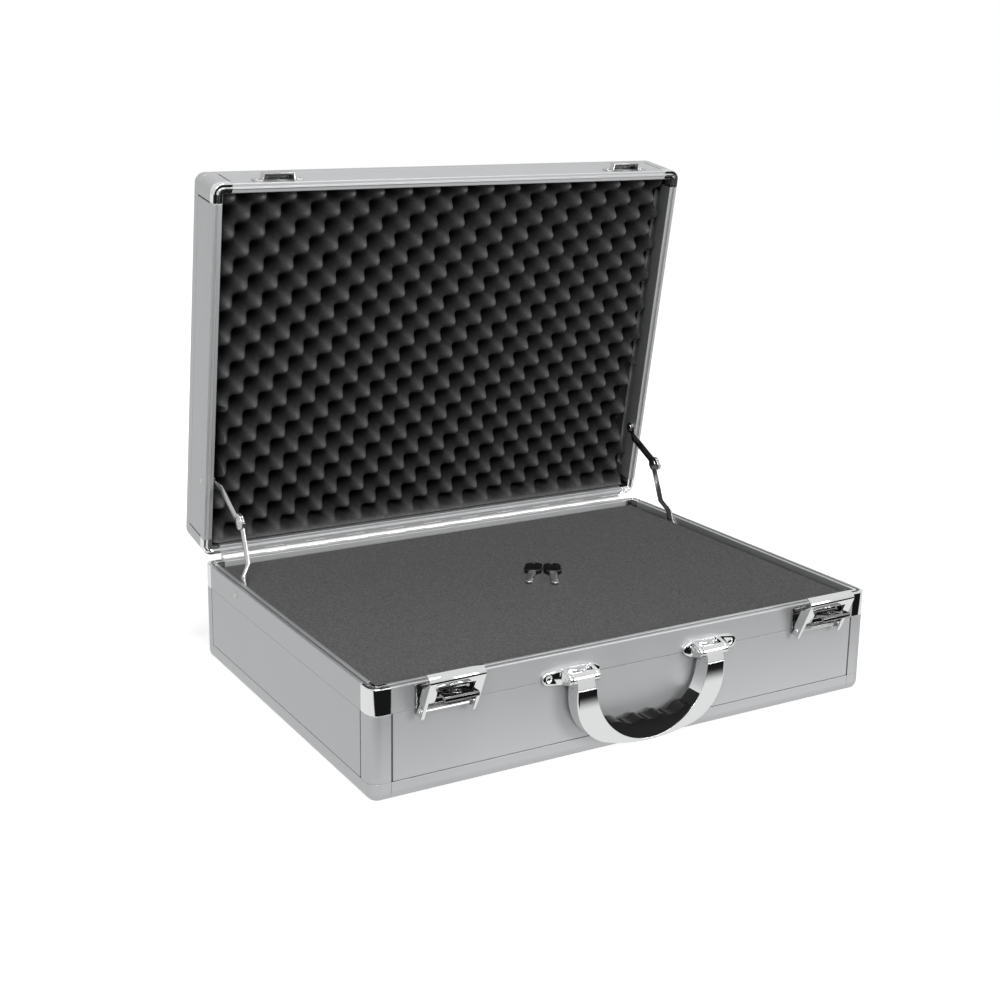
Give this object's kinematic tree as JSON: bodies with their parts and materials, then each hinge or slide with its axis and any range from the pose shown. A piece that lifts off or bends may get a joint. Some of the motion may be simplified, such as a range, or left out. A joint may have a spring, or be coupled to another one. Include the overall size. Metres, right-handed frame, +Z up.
{
  "type": "tool case",
  "caption": "Flat aluminium-framed carrying case with a hinged foam-lined lid on folding stays, lever latches and a drop handle.",
  "frame": {"origin": "centre of the underside of the base, on the surface that the case stands on", "axes": "+X along the front to the right, +Y from the latches to the hinges, +Z up"},
  "size_m": [0.462, 0.4081, 0.4241],
  "materials": {
    "panel": "satin anodised sheet",
    "extrusion": "satin anodised extrusion",
    "corner_casting": "cast, satin",
    "chrome": "bright chrome plate",
    "nickel": "nickel-plated steel",
    "lock": "turned and plated",
    "grip": "black moulded",
    "key_head": "black moulded",
    "base_foam": "open-cell polyurethane foam",
    "lid_foam": "open-cell convoluted polyurethane foam"
  },
  "bodies": {
    "base": {"base_bottom_corners": "corner_casting", "base_bottom_panel": "panel", "base_corner_posts": "extrusion", "base_foam": "base_foam", "base_front_panel": "panel", "base_left_panel": "panel", "base_long_edge_rails": "extrusion", "base_long_rims": "extrusion", "base_rear_panel": "panel", "base_right_panel": "panel", "base_rim_corners": "chrome", "base_short_edge_rails": "extrusion", "base_short_rims": "extrusion", "handle_left_bracket": "chrome", "handle_pins": "chrome", "handle_right_bracket": "chrome", "hinge_base_leaf": "nickel", "hinge_pin": "nickel", "key_blades": "nickel", "key_heads": "key_head", "latch_left_hinge_pin": "chrome", "latch_left_plate": "chrome", "latch_right_hinge_pin": "chrome", "latch_right_plate": "chrome", "stay_base_rivets": "nickel"},
    "lid": {"lid_corner_posts": "extrusion", "lid_foam": "lid_foam", "lid_front_panel": "panel", "lid_left_panel": "panel", "lid_long_edge_rails": "extrusion", "lid_long_rims": "extrusion", "lid_rear_panel": "panel", "lid_right_panel": "panel", "lid_rim_corners": "chrome", "lid_short_edge_rails": "extrusion", "lid_short_rims": "extrusion", "lid_top_corners": "corner_casting", "lid_top_panel": "panel", "stay_lid_rivets": "nickel", "hinge_lid_leaf": "nickel", "keeper_left": "chrome", "keeper_right": "chrome"},
    "stay_left_lower": {"stay_left_lower_link": "nickel"},
    "stay_left_upper": {"stay_left_upper_link": "nickel"},
    "stay_right_lower": {"stay_right_lower_link": "nickel"},
    "stay_right_upper": {"stay_right_upper_link": "nickel"},
    "handle": {"handle_bow": "chrome", "handle_grip": "grip"},
    "latch_left_cover": {"latch_left_cover": "chrome", "latch_left_carrier": "chrome"},
    "latch_left_lever": {"latch_left_lever": "chrome"},
    "latch_left_lock": {"latch_left_lock_plug": "lock"},
    "latch_right_cover": {"latch_right_cover": "chrome", "latch_right_carrier": "chrome"},
    "latch_right_lever": {"latch_right_lever": "chrome"},
    "latch_right_lock": {"latch_right_lock_plug": "lock"}
  },
  "joints": [
    {"name": "lid_hinge", "type": "hinge", "parent": "base", "child": "lid", "pos_m": [0, 0.1684, 0.087], "axis": [-1, 0, 0], "range_deg": [-80.5, 0]},
    {"name": "stay_left_base_pivot", "type": "hinge", "parent": "base", "child": "stay_left_lower", "pos_m": [-0.222, 0.0903, 0.0785], "axis": [1, 0, 0], "range_deg": [0, 70.89]},
    {"name": "stay_left_lid_pivot", "type": "hinge", "parent": "lid", "child": "stay_left_upper", "pos_m": [-0.222, 0.16416, 0.1602], "axis": [1, 0, 0], "range_deg": [-134.04, 0]},
    {"name": "stay_right_base_pivot", "type": "hinge", "parent": "base", "child": "stay_right_lower", "pos_m": [0.222, 0.0903, 0.0785], "axis": [1, 0, 0], "range_deg": [0, 70.89]},
    {"name": "stay_right_lid_pivot", "type": "hinge", "parent": "lid", "child": "stay_right_upper", "pos_m": [0.222, 0.16416, 0.1602], "axis": [1, 0, 0], "range_deg": [-134.04, 0]},
    {"name": "handle_swing", "type": "hinge", "parent": "base", "child": "handle", "pos_m": [0, -0.175, 0.069], "axis": [-1, 0, 0], "range_deg": [0, 105]},
    {"name": "latch_left_cover_hinge", "type": "hinge", "parent": "base", "child": "latch_left_cover", "pos_m": [-0.172, -0.17, 0.0665], "axis": [1, 0, 0], "range_deg": [-24, 60]},
    {"name": "latch_left_lever_pivot", "type": "hinge", "parent": "latch_left_cover", "child": "latch_left_lever", "pos_m": [-0.172, -0.17722, 0.08025], "axis": [-1, 0, 0], "range_deg": [-114, 0]},
    {"name": "latch_left_lock_turn", "type": "hinge", "parent": "latch_left_lever", "child": "latch_left_lock", "pos_m": [-0.172, -0.18482, 0.08375], "axis": [0, 0, 1], "range_deg": [0, 90]},
    {"name": "latch_right_cover_hinge", "type": "hinge", "parent": "base", "child": "latch_right_cover", "pos_m": [0.172, -0.17, 0.0665], "axis": [1, 0, 0], "range_deg": [-24, 60]},
    {"name": "latch_right_lever_pivot", "type": "hinge", "parent": "latch_right_cover", "child": "latch_right_lever", "pos_m": [0.172, -0.17722, 0.08025], "axis": [-1, 0, 0], "range_deg": [-114, 0]},
    {"name": "latch_right_lock_turn", "type": "hinge", "parent": "latch_right_lever", "child": "latch_right_lock", "pos_m": [0.172, -0.18482, 0.08375], "axis": [0, 0, 1], "range_deg": [0, 90]}
  ],
  "couplings": [
    {"joint": "stay_left_base_pivot", "follows": "lid_hinge", "ratio": -0.88007},
    {"joint": "stay_left_lid_pivot", "follows": "lid_hinge", "ratio": 1.6645},
    {"joint": "stay_right_base_pivot", "follows": "lid_hinge", "ratio": -0.88007},
    {"joint": "stay_right_lid_pivot", "follows": "lid_hinge", "ratio": 1.6645}
  ]
}
